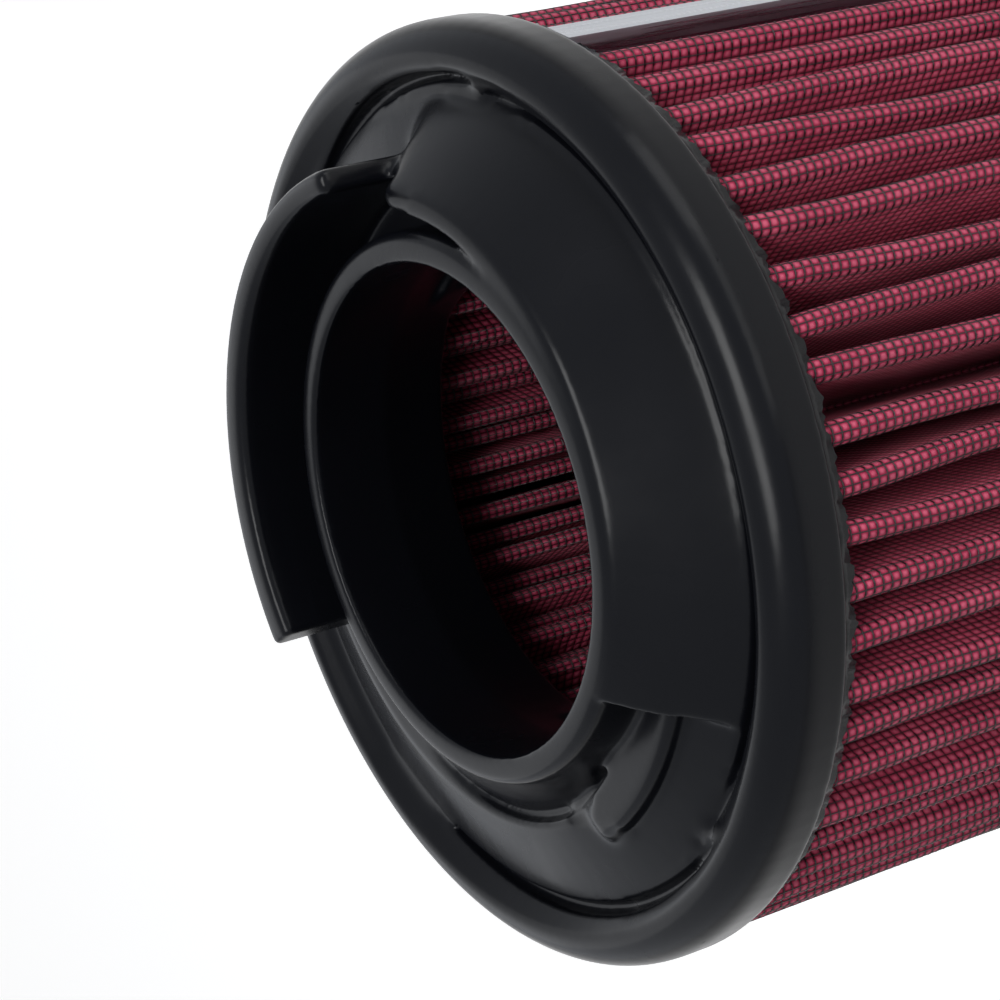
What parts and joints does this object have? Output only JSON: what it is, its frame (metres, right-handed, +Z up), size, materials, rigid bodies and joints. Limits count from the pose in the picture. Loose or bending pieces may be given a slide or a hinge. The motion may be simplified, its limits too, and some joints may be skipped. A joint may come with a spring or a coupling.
{
  "type": "engine air filter",
  "caption": "Tall round engine air filter: folded crimson gauze between wire screens, soft black end caps, an offset neck with a curved fin and a smooth dome, and a bright seam clip.",
  "frame": {"origin": "centre of the rear cap's foot, on the surface the filter stands on", "axes": "+Z up along the filter's axis to the neck's mouth; the neck is offset towards -Y, and the fin stands on the +Y side"},
  "size_m": [0.118, 0.118, 0.2378],
  "materials": {
    "cap_moulding": "satin black soft moulding",
    "gauze": "oiled crimson cotton gauze",
    "screen_wire": "black coated wire",
    "clip_strip": "bright rolled strip"
  },
  "bodies": {
    "root": {"front_cap": "cap_moulding", "rear_cap": "cap_moulding", "gauze_pleats": "gauze", "outer_screen": "screen_wire", "inner_screen": "screen_wire", "seam_clip": "clip_strip"}
  },
  "joints": []
}
